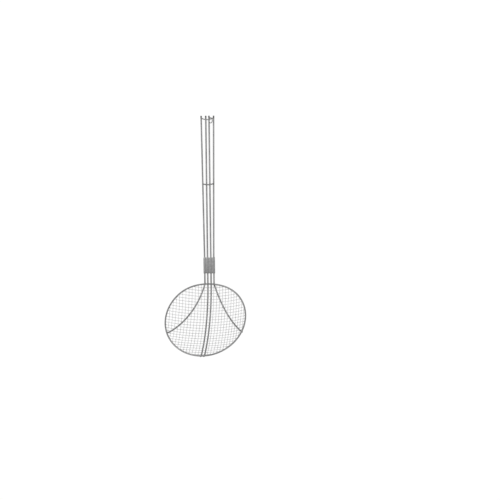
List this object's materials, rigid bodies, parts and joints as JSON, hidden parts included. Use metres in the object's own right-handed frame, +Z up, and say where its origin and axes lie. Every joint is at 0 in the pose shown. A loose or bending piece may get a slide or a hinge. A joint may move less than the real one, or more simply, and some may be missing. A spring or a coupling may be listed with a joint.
{
  "type": "spider skimmer",
  "caption": "Wire skimmer with a shallow woven mesh bowl, a long flat handle of parallel wires held by a collar, and a loose hanging ring.",
  "frame": {"origin": "on the table under the middle of the tool's box, as it lies on its collar with the bowl facing up", "axes": "+Y along the handle from the bowl to the tips, +Z up out of the bowl's open side, +X across to the side where the hanging ring is"},
  "size_m": [0.16, 0.4642, 0.0803],
  "materials": {
    "wire": "satin drawn stainless wire",
    "mesh": "bright drawn stainless wire",
    "collar": "plain rolled stainless sheet",
    "ring": "bright drawn stainless wire"
  },
  "bodies": {
    "skimmer": {"rim_ring": "wire", "inner_wire_left": "wire", "inner_wire_right": "wire", "outer_wire_left": "wire", "outer_wire_right": "wire", "middle_spreader": "wire", "end_spreader": "wire", "mesh_cross_wires": "mesh", "mesh_long_wires": "mesh", "collar": "collar"},
    "ring": {"hanging_ring": "ring"}
  },
  "joints": [
    {"name": "ring_swing", "type": "hinge", "parent": "skimmer", "child": "ring", "pos_m": [0.00726, 0.22577, 0.005], "axis": [-0.9505, -0.3108, 0], "range_deg": [-110, 78]}
  ]
}
